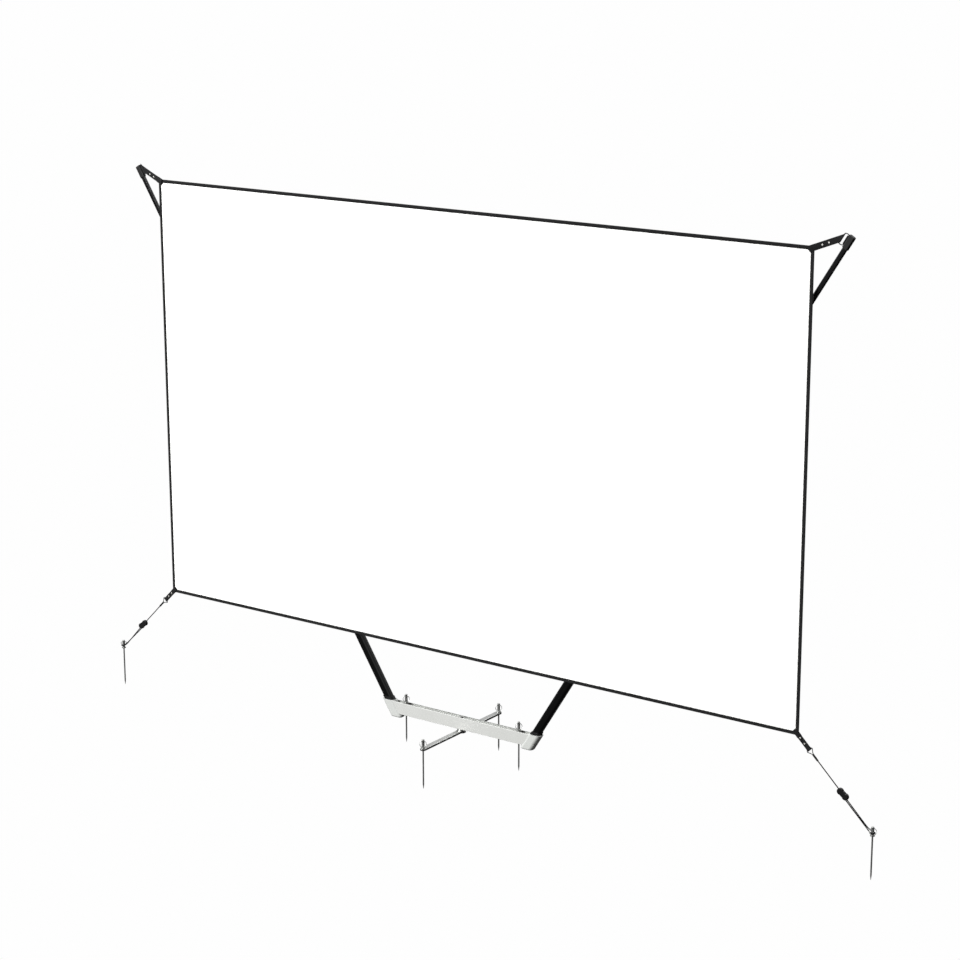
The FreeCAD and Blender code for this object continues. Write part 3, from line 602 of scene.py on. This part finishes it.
# %% Finish of each rigid part
finish_by_name = {
    "base_channel": channel_material, "cross_bar": bar_material, "front_panel": panel_material,
    "strap_studs": stud_material, "socket_collars": black_material,
    "socket_screws": bolt_material, "pivot_bolt": bolt_material,
    "peg_bushes": fitting_material, "pivot_plates": fitting_material,
}
finish_by_ending = {
    "_guides": black_material, "_tip_cap": black_material, "_socket": socket_material,
    "_peg": peg_material, "_pull_ring": wire_material, "_tip_ring": dark_wire_material,
    "_adjuster": runner_material, "_sleeve": sleeve_material,
}


def finish_of(name):
    """The finish of a rigid part, or none if a soft piece takes its place."""
    if name.endswith("_tube"):
        return tube_materials[name.split("_")[0]]
    if name in finish_by_name:
        return finish_by_name[name]
    for ending, material in finish_by_ending.items():
        if name.endswith(ending):
            return material
    return None


print("finish of the cross bar:", finish_of("cross_bar").name)

# %% Dress the rigid parts
crease_angle = math.radians(32.0)


def shade_by_angle(piece, angle):
    """Smooth shading across shallow edges only."""
    with bpy.context.temp_override(object=piece, active_object=piece, selected_objects=[piece],
                                   selected_editable_objects=[piece]):
        bpy.ops.object.shade_smooth_by_angle(angle=angle)


def dress_rigid_parts():
    """Give every rigid part that stays in sight its finish."""
    dressed = []
    for name, piece in nodes.items():
        material = finish_of(name)
        if material is None:
            continue
        piece.data.materials.clear()
        piece.data.materials.append(material)
        shade_by_angle(piece, crease_angle)
        dressed.append(name)
    return dressed


dressed = dress_rigid_parts()
print("dressed:", len(dressed), "left for soft pieces:", sorted(set(nodes) - set(dressed)))

# %% [markdown]
# ## Making meshes
#
# The soft pieces are grids of points that a formula places. That keeps every thickness and fold
# to its real size, which sculpting or a cloth simulation wouldn't: this cloth is pulled tight, so
# there is little for gravity to do. Each piece moves with the screen and takes the place of the
# plain solid that held its room.

# %% Making meshes
def new_piece(name, points, faces, material, uvs=None):
    """Mesh object from points and faces, with a place in the pattern for each point."""
    mesh = bpy.data.meshes.new(name)
    mesh.from_pydata(points, [], faces)
    shell = bmesh.new()
    shell.from_mesh(mesh)
    bmesh.ops.recalc_face_normals(shell, faces=shell.faces)
    shell.to_mesh(mesh)
    shell.free()
    mesh.materials.append(material)
    if uvs:
        uv_layer = mesh.uv_layers.new(name="UVMap")
        for loop in mesh.loops:
            uv_layer.data[loop.index].uv = uvs[loop.vertex_index]
    return add_object(name, mesh)


def ride_screen(piece, slot, *replaced):
    """Let a soft piece move with the screen and stand for its rigid stand-in."""
    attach(piece, "screen")
    if replaced:
        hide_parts(*replaced)


tape_low, tape_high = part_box("edge_tape")
cloth_low, cloth_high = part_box("screen_cloth")
cloth_y = (cloth_low.y + cloth_high.y) / 2
cloth_half = (cloth_high.y - cloth_low.y) / 2
tape_half = (tape_high.y - tape_low.y) / 2
print("cloth:", round(cloth_high.x - cloth_low.x, 4), "by", round(cloth_high.z - cloth_low.z, 4),
      "m, with", round(2 * tape_half / mm, 2), "mm of tape round it")

# %% [markdown]
# ## Cloth
#
# The cloth is one sheet held by four corners. Pull at a corner raises shallow ripples that run
# in from it and fade, and the whole sheet bellies a hair. Both are under two millimetres,
# because the screen in the photograph is drum tight. Along the edge the tape holds it flat.

# %% Ripples of the cloth
ripple_height = 0.0011
ripple_pitch = 0.055
ripple_reach = 0.34
ripple_spread = 0.11
ripple_way = math.radians(33.0)
calm_edge = 0.012
calm_width = 0.05
belly_share = 0.35
# Radians per metre, and the angle on the ground below the screen's middle
belly_across = (2.1, 0.6)
belly_up = (3.3, 0.4)


def ripple(x, z):
    """How far the cloth stands off its plane at a point."""
    edge = min(x - cloth_low.x, cloth_high.x - x, z - cloth_low.z, cloth_high.z - z)
    calm = min(1.0, max(0.0, (edge - calm_edge) / calm_width))
    total = (belly_share * math.sin(belly_across[0] * x + belly_across[1])
             * math.sin(belly_up[0] * z + belly_up[1]))
    for corner_x in (cloth_low.x, cloth_high.x):
        for corner_z in (cloth_low.z, cloth_high.z):
            along = math.hypot(x - corner_x, z - corner_z)
            angle = math.atan2(abs(z - corner_z), abs(x - corner_x))
            across = (angle - ripple_way) * max(along, ripple_pitch)
            fade = math.exp(-(along / ripple_reach) ** 2 - (across / ripple_spread) ** 2)
            total += math.cos(2 * math.pi * across / ripple_pitch) * fade
    return ripple_height * calm * total


print("belly at the cloth's middle:", round(ripple(0.0, (cloth_low.z + cloth_high.z) / 2) / mm, 2),
      "mm")

# %% Cloth
cloth_columns = 150
cloth_rows = 90


def make_cloth():
    """Closed thin sheet, finely divided so that it can carry its ripples."""
    points = []
    for face_side in (-1.0, 1.0):
        for row in range(cloth_rows + 1):
            for column in range(cloth_columns + 1):
                x = cloth_low.x + (cloth_high.x - cloth_low.x) * column / cloth_columns
                z = cloth_low.z + (cloth_high.z - cloth_low.z) * row / cloth_rows
                points.append((x, cloth_y + face_side * cloth_half + ripple(x, z), z))
    width = cloth_columns + 1
    to_back = width * (cloth_rows + 1)
    faces = []
    for row in range(cloth_rows):
        for column in range(cloth_columns):
            a = row * width + column
            quad = (a, a + 1, a + width + 1, a + width)
            faces.append(quad)
            faces.append(tuple(i + to_back for i in reversed(quad)))
    rim = list(range(width))
    rim += [row * width + cloth_columns for row in range(1, cloth_rows + 1)]
    rim += [cloth_rows * width + column for column in range(cloth_columns - 1, -1, -1)]
    rim += [row * width for row in range(cloth_rows - 1, 0, -1)]
    for a, b in zip(rim, rim[1:] + rim[:1]):
        faces.append((b, a, a + to_back, b + to_back))
    cloth = new_piece("projection_cloth", points, faces, cloth_material)
    shade_by_angle(cloth, crease_angle)
    ride_screen(cloth, "screen_fabric", "screen_cloth")
    return cloth


cloth = make_cloth()
print("cloth faces:", len(cloth.data.polygons))

# %% [markdown]
# ## Edge tape
#
# Binding tape is folded over the cloth's edge and sewn through. Its section is a flat U: a round
# fold outside, two faces, and a slot for the cloth. It could be extruded as four strips, but
# then the corners would gape. So the section is carried round the four sides in one go and
# mitred at the corners. The faces draw in a little between stitches, which breaks up their
# shine.

# %% Section of the tape
tape_width = 0.010
tape_play = 0.00002
tape_slot_half = cloth_half + tape_play
tape_slot_floor = 0.0017
tape_rounding = 0.0003
fold_steps = 8


def tape_section():
    """Folded section: (distance in from the outer edge, distance off the cloth's plane)."""
    section = []
    for step in range(fold_steps + 1):
        angle = math.pi * step / fold_steps
        section.append((tape_half - tape_half * math.sin(angle), -tape_half * math.cos(angle)))
    section += [(tape_width - tape_rounding, tape_half), (tape_width, tape_half - tape_rounding),
                (tape_width, tape_slot_half), (tape_slot_floor, tape_slot_half),
                (tape_slot_floor, -tape_slot_half), (tape_width, -tape_slot_half),
                (tape_width, tape_rounding - tape_half), (tape_width - tape_rounding, -tape_half)]
    return section


print("points of the tape's section:", len(tape_section()))

# %% Way of the tape
station_gap = 0.02
tape_middle = (tape_low + tape_high) / 2
tape_reach = (tape_high - tape_low) / 2


def tape_stations():
    """Places round the screen as shares of its half size, with the distance gone."""
    wide = tape_high.x - tape_low.x
    tall = tape_high.z - tape_low.z
    corners = [(-1.0, -1.0), (1.0, -1.0), (1.0, 1.0), (-1.0, 1.0)]
    stations = []
    gone = 0.0
    for index, (x, z) in enumerate(corners):
        next_x, next_z = corners[(index + 1) % 4]
        length = wide if x != next_x else tall
        count = round(length / station_gap)
        for step in range(count):
            share = step / count
            stations.append((x + (next_x - x) * share, z + (next_z - z) * share,
                             gone + length * share))
        gone += length
    return stations


print("stations of the tape:", len(tape_stations()))

# %% Edge tape
pucker_share = 0.06
pucker_pitch = 0.016
soft_crease = math.radians(50.0)


def tape_points(section, stations):
    """The section's points at every station, and their places in the weave."""
    points = []
    uvs = []
    for share_x, share_z, gone in stations:
        draw_in = 1.0 - pucker_share * (0.5 - 0.5 * math.cos(2 * math.pi * gone / pucker_pitch))
        for inward, off in section:
            x = tape_middle.x + share_x * tape_reach.x
            z = tape_middle.z + share_z * tape_reach.z
            if abs(share_x) == 1.0:
                x -= math.copysign(inward, share_x)
            if abs(share_z) == 1.0:
                z -= math.copysign(inward, share_z)
            outer = abs(off) > tape_slot_half + tape_rounding
            points.append((x, cloth_y + off * (draw_in if outer else 1.0), z))
            uvs.append((gone, tape_width - inward))
    return points, uvs


def make_tape():
    """Folded tape carried round the cloth."""
    section = tape_section()
    stations = tape_stations()
    points, uvs = tape_points(section, stations)
    count = len(section)
    faces = []
    for station in range(len(stations)):
        for k in range(count):
            a = station * count + k
            b = station * count + (k + 1) % count
            after = ((station + 1) % len(stations) - station) * count
            faces.append((a, a + after, b + after, b))
    tape = new_piece("folded_edge_tape", points, faces, tape_material, uvs)
    # The last faces close the ring, so the weave carries on there instead of starting again
    way_round = 4 * (tape_reach.x + tape_reach.z)
    places = tape.data.uv_layers[0].data
    for face in tape.data.polygons[-count:]:
        for index in face.loop_indices:
            if places[index].uv.x < station_gap / 2:
                places[index].uv.x += way_round
    shade_by_angle(tape, soft_crease)
    ride_screen(tape, "edge_tape", "edge_tape")
    return tape


tape = make_tape()
print("tape faces:", len(tape.data.polygons))

# %% [markdown]
# ## Corner gussets
#
# The photograph shows a small dark triangle inside each corner, where the tape is doubled to
# take the strap's pull. Each is a thin closed wedge with softened edges, set over both faces of
# the cloth, so a bevel on a plain prism is all it needs.

# %% Corner gussets
gusset = 0.009
gusset_root = 0.0025
gusset_rounding = 0.0004
rounding_steps = 2
weave_start = 2 * gusset


def make_gussets():
    """Triangle of doubled tape inside each corner of the screen."""
    points = []
    faces = []
    uvs = []
    outline = [(gusset_root, gusset_root), (-gusset, gusset_root), (-gusset, 0.0),
               (0.0, -gusset), (gusset_root, -gusset)]
    count = len(outline)
    for sign_x in (-1.0, 1.0):
        for sign_z in (-1.0, 1.0):
            edge_x = (tape_high.x if sign_x > 0 else tape_low.x) - sign_x * tape_width
            edge_z = (tape_high.z if sign_z > 0 else tape_low.z) - sign_z * tape_width
            start = len(points)
            for off in (-tape_half, tape_half):
                for x, z in outline:
                    points.append((edge_x + sign_x * x, cloth_y + off, edge_z + sign_z * z))
                    uvs.append((x, z + weave_start))
            front = list(range(start, start + count))
            back = [i + count for i in front]
            faces += [tuple(front), tuple(reversed(back))]
            for k in range(count):
                after = (k + 1) % count
                faces.append((front[k], back[k], back[after], front[after]))
    piece = new_piece("corner_gussets", points, faces, webbing_material, uvs)
    bevel = piece.modifiers.new("softened_edges", "BEVEL")
    bevel.width = gusset_rounding
    bevel.segments = rounding_steps
    ride_screen(piece, "edge_tape")
    return piece


gussets = make_gussets()
print("gussets:", len(gussets.data.polygons), "faces before their edges are softened")

# %% [markdown]
# ## Webbing
#
# A strap is one length of webbing that goes out over the cloth's front, turns round what it
# holds and comes back to the cloth's back. A curve with a flat bevel could do it, but its twist is
# hard to steer round the turn. The band below follows any path, with the webbing's real thickness
# and rounded edges. Its width can swing along the way, because the upper straps start square to
# the corner and end along the ring's bar.

# %% Band of webbing
webbing_thickness = 0.0013
webbing_half = webbing_thickness / 2
edge_steps = 4


def band_section(half_width):
    """Flat section with round edges, as (across, up)."""
    section = []
    for side, start in ((1.0, -90.0), (-1.0, 90.0)):
        for step in range(edge_steps + 1):
            angle = math.radians(start + 180.0 / edge_steps * step)
            section.append((side * (half_width - webbing_half) + webbing_half * math.cos(angle),
                            webbing_half * math.sin(angle)))
    return section


def make_band(name, path, width, replaced):
    """Webbing along a path of (place, direction of its width)."""
    section = band_section(width / 2)
    points = []
    uvs = []
    gone = 0.0
    for index, (place, across) in enumerate(path):
        before = path[max(index - 1, 0)][0]
        after = path[min(index + 1, len(path) - 1)][0]
        up = (after - before).normalized().cross(across).normalized()
        gone += (place - before).length
        for wide, high in section:
            points.append(tuple(place + across * wide + up * high))
            uvs.append((gone, wide))
    count = len(section)
    faces = []
    for index in range(len(path) - 1):
        for k in range(count):
            a = index * count + k
            b = index * count + (k + 1) % count
            faces.append((a, b, b + count, a + count))
    faces.append(tuple(reversed(range(count))))
    faces.append(tuple(range(len(points) - count, len(points))))
    piece = new_piece(name, points, faces, webbing_material, uvs)
    shade_by_angle(piece, soft_crease)
    ride_screen(piece, "webbing", replaced)
    return piece


print("webbing thickness:", webbing_thickness, "m, two of them:", 2 * webbing_thickness, "m")

# %% Path of a strap
over_tape = tape_half + webbing_half
turn_steps = 12
turn_each_way = 105.0
neck_share = 2.2


def looped_path(corner, end, way, up, tail, wrap, spread, across_at):
    """Out over the front, round the end and back: (place, direction of the width) at each point.

    The strap starts a tail before the corner, comes off the tape over the spread, and turns round
    the end with the wrap as its radius.
    """
    reach = (end - corner).length
    out = [(corner - way * tail, over_tape), (corner + way * spread[0], over_tape),
           (corner + way * spread[1], webbing_half),
           (end - way * wrap * neck_share, webbing_half)]
    path = [(place + up * height, across_at((place - corner).dot(way) / reach))
            for place, height in out]
    for step in range(turn_steps + 1):
        angle = math.radians(turn_each_way - 2 * turn_each_way * step / turn_steps)
        place = end + way * (wrap * math.cos(angle)) + up * (wrap * math.sin(angle))
        path.append((place, across_at(1.0)))
    path += [(place - up * height, across_at((place - corner).dot(way) / reach))
             for place, height in reversed(out)]
    return path


print("a strap turns through", 2 * turn_each_way, "degrees")

# %% [markdown]
# ## Upper straps
#
# The upper strap turns round the far bar of the tip ring. The ring hangs from the arm's cap, so
# its bar runs along the arm, and the fold is slanted to match. Each corner and bar has a known
# place, and the left strap is the mirror image of the right one.

# %% Upper straps
corner_reach = 1.112
corner_height = 1.5355
ring_bar = (1.1884, -0.0074, 1.5656)
ring_wire_radius = 0.00125
loop_gap = 0.0003
upper_strap_width = 0.017
upper_strap_tail = 0.009
upper_strap_spread = (0.009, 0.018)


def make_upper_strap(side, sign):
    """Webbing from the cloth's upper corner round the tip ring's bar and back."""
    corner = Vector((sign * corner_reach, cloth_y, corner_height))
    bar = Vector((sign * ring_bar[0], ring_bar[1], ring_bar[2]))
    arm_axis = Vector((sign * math.sin(arm_lean), 0.0, math.cos(arm_lean)))
    way = (bar - corner).normalized()
    up = arm_axis.cross(way).normalized()
    if up.y > 0.0:
        up.negate()
    square = up.cross(way).normalized()
    slanted = arm_axis / arm_axis.dot(square)
    wrap = ring_wire_radius + loop_gap + webbing_half
    path = looped_path(corner, bar, way, up, upper_strap_tail, wrap, upper_strap_spread,
                       lambda share: square.lerp(slanted, min(1.0, max(0.0, share))))
    return make_band(side + "_upper_webbing", path, upper_strap_width, side + "_upper_strap")


for side, sign in sides.items():
    strap = make_upper_strap(side, sign)
    print(strap.name, len(strap.data.polygons), "faces")

# %% [markdown]
# ## Lower straps
#
# The lower strap points along the guy line, down and outwards. Its end is a narrow hem that the
# bridle cord runs through, so it turns round the cord with little room, and its width is square
# to the line all the way.

# %% Way of the guy lines
lower_corner_height = 0.240
guy_catch = (1.3399, 0.0135)


def guy_way():
    """Direction of the right guy line, down and outwards."""
    return Vector((guy_catch[0] - corner_reach, 0.0,
                   guy_catch[1] - lower_corner_height)).normalized()


def guy_point(sign, along, under, back):
    """Point near a guy line: along it from the corner, under it and back from the cloth."""
    way = guy_way()
    below = Vector((way.z, 0.0, -way.x))
    corner = Vector((corner_reach, cloth_y + back, lower_corner_height))
    place = corner + way * along + below * under
    return Vector((sign * place.x, place.y, place.z))


print("guy lines slope down", round(math.degrees(math.asin(-guy_way().z)), 1), "degrees")

# %% Lower straps
lower_strap_width = 0.0137
lower_strap_tail = 0.011
lower_strap_reach = 0.0525
lower_strap_spread = (0.0085, 0.0135)
hem_radius = 0.003


def make_lower_strap(side, sign):
    """Webbing from the cloth's lower corner round the bridle cord and back."""
    corner = guy_point(sign, 0.0, 0.0, 0.0)
    end = guy_point(sign, lower_strap_reach, 0.0, 0.0)
    way = (end - corner).normalized()
    up = Vector((0.0, -1.0, 0.0))
    square = up.cross(way)
    path = looped_path(corner, end, way, up, lower_strap_tail, hem_radius - webbing_half,
                       lower_strap_spread, lambda share: square)
    return make_band(side + "_lower_webbing", path, lower_strap_width, side + "_lower_strap")


for side, sign in sides.items():
    strap = make_lower_strap(side, sign)
    print(strap.name, len(strap.data.polygons), "faces")

# %% [markdown]
# ## Cords
#
# Each lower corner has a thin bridle through the strap's hem, both ends held in a sleeve, and a
# guy line that runs tight from the sleeve through the runner, down to the peg, round its head
# and back up into the runner. A curve with a round bevel is the natural form for a cord. Its
# points are listed, with one close to each turn so that the straight runs stay straight.

# %% Routes of the cords
# Along the line from the corner, under it, and back from the cloth
bridle_under = [(0.0720, 0.00125, 0.0), (0.0660, 0.00125, 0.0), (0.0553, 0.0103, 0.0),
                (lower_strap_reach, 0.0087, 0.0), (lower_strap_reach, 0.0045, 0.0)]
bridle_over = [(along, -under, back) for along, under, back in reversed(bridle_under)]
line_start = [(0.0900, 0.0, 0.0), (0.2065, 0.0, 0.0), (0.2245, 0.0, 0.0),
              (0.2853, 0.0016, 0.0019), (0.3033, 0.0021, 0.0024)]
line_end = [(0.3033, 0.0021, -0.0024), (0.2853, 0.0026, -0.0019), (0.2245, 0.0042, 0.0),
            (0.2035, 0.0042, 0.0)]
# Round the peg's head: how far out, and how far back or forward of the cloth
peg_head_turn = [(guy_catch[0], 0.00605), (1.3487, 0.00605), (1.3487, -0.00605),
                 (guy_catch[0], -0.00605)]


def bridle_points(sign):
    """Out of the sleeve, through the strap's hem and back into the sleeve."""
    return [guy_point(sign, *place) for place in bridle_under + bridle_over]


def guy_line_points(sign):
    """Out of the sleeve, through the runner, round the peg's head and back into the runner."""
    points = [guy_point(sign, *place) for place in line_start]
    points += [Vector((sign * x, cloth_y + y, guy_catch[1])) for x, y in peg_head_turn]
    points += [guy_point(sign, *place) for place in line_end]
    return points


print("points of a bridle:", len(bridle_points(1.0)), "of a line:", len(guy_line_points(1.0)))

# %% Cords
cord_rounding = 4
cord_steps = 16
cord_order = 3


def make_cord(name, points, thickness, material, replaced):
    """Round cord along a smooth curve."""
    data = bpy.data.curves.new(name, "CURVE")
    data.dimensions = "3D"
    data.bevel_depth = thickness / 2
    data.bevel_resolution = cord_rounding
    data.resolution_u = cord_steps
    data.use_fill_caps = True
    spline = data.splines.new("NURBS")
    spline.points.add(len(points) - 1)
    for point, place in zip(spline.points, points):
        point.co = (*place, 1.0)
    spline.order_u = cord_order
    spline.use_endpoint_u = True
    data.materials.append(material)
    cord = add_object(name, data)
    ride_screen(cord, "cord", replaced)
    return cord


for side, sign in sides.items():
    points = bridle_points(sign)
    bridle = make_cord(side + "_bridle_cord", points, bridle_thickness, bridle_material,
                       side + "_guy_bridle")
    points = guy_line_points(sign)
    line = make_cord(side + "_braided_guy_line", points, line_thickness, line_material,
                     side + "_guy_line")
    print(side, "bridle", bridle_length, "m, guy line", line_length, "m")
